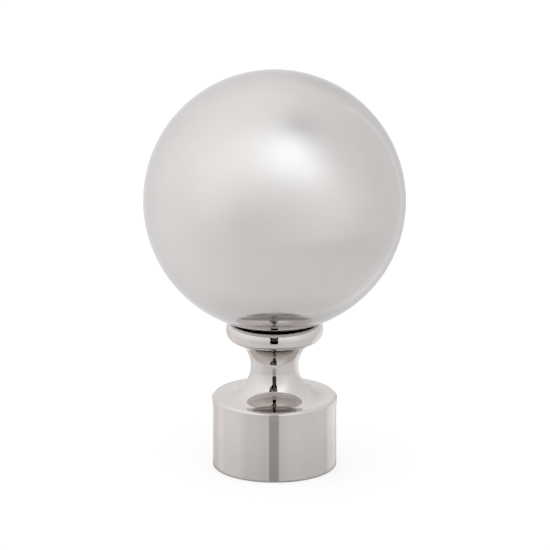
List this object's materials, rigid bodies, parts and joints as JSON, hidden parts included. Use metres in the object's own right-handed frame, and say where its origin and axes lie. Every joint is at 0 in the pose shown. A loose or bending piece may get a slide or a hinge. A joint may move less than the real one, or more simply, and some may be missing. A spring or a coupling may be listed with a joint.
{
  "type": "ball finial",
  "caption": "Ball finial for a curtain pole: a hollow polished ball on a turned socket with a coved neck, a bead and a lipped rim, which slips over the pole's end.",
  "frame": {"origin": "centre of the socket's mouth, in the plane of its foot rim", "axes": "+Z along the pole's axis, from the socket's mouth towards the ball; the grub screw faces +Y"},
  "size_m": [0.0704, 0.0704, 0.1094],
  "materials": {
    "polished_nickel": "polished",
    "bare_brass": "satin",
    "plated_steel": "satin"
  },
  "bodies": {
    "root": {"ball": "polished_nickel", "ball_bush": "bare_brass", "joining_stud": "plated_steel", "socket": "polished_nickel", "grub_screw": "plated_steel"}
  },
  "joints": []
}
